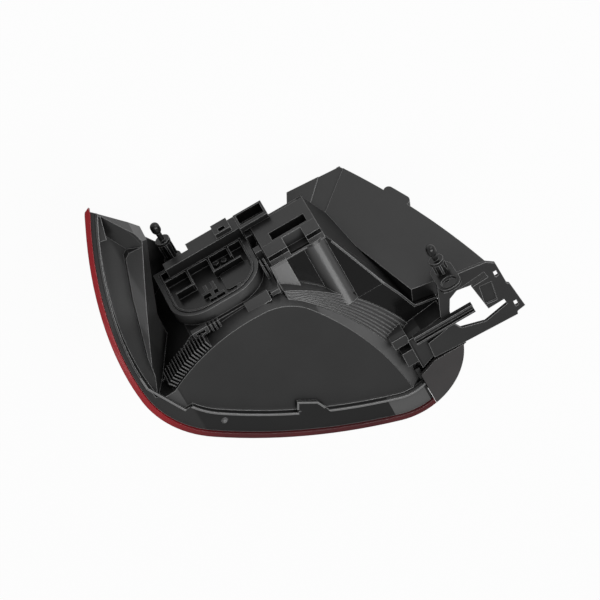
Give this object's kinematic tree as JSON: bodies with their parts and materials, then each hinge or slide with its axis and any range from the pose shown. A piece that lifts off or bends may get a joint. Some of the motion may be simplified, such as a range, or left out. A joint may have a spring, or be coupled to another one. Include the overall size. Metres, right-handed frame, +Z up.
{
  "type": "tail light cluster",
  "caption": "Wrap-around car tail lamp with a moulded black back housing, red lens, clip-in bulb holder, sloping inboard cover, flat bracket and locating ball studs.",
  "frame": {"origin": "foot of the outer ball stud, on its axis, where the stud leaves its boss", "axes": "+X inboard, +Y towards the front of the car and along the studs, +Z up"},
  "size_m": [0.3207, 0.3243, 0.1925],
  "materials": {
    "red_lens": "clear red moulding",
    "clear_lens": "clear moulding",
    "gloss_black": "gloss",
    "housing_black": "satin moulding",
    "metallised": "metallised",
    "reflex_red": "prismatic",
    "holder_black": "satin moulding",
    "seal_rubber": "matte",
    "bulb_glass": "clear",
    "amber_glass": "amber",
    "contact_brass": "plain",
    "stud_black": "satin",
    "cover_black": "fine grain",
    "bracket_black": "satin moulding"
  },
  "bodies": {
    "root": {"outer_lens": "red_lens", "clear_window": "clear_lens", "lens_end_cap": "gloss_black", "housing": "housing_black", "reflector": "metallised", "reflex_reflector": "reflex_red", "bulb_holder": "holder_black", "holder_seal": "seal_rubber", "stop_bulb": "bulb_glass", "tail_bulb": "bulb_glass", "indicator_bulb": "amber_glass", "reverse_bulb": "bulb_glass", "contact_strips": "contact_brass", "connector_pins": "contact_brass", "outer_ball_stud": "stud_black", "inner_ball_stud": "stud_black", "side_cover": "cover_black", "mounting_bracket": "bracket_black", "slide_clip": "bracket_black", "vent_cap": "holder_black"}
  },
  "joints": []
}
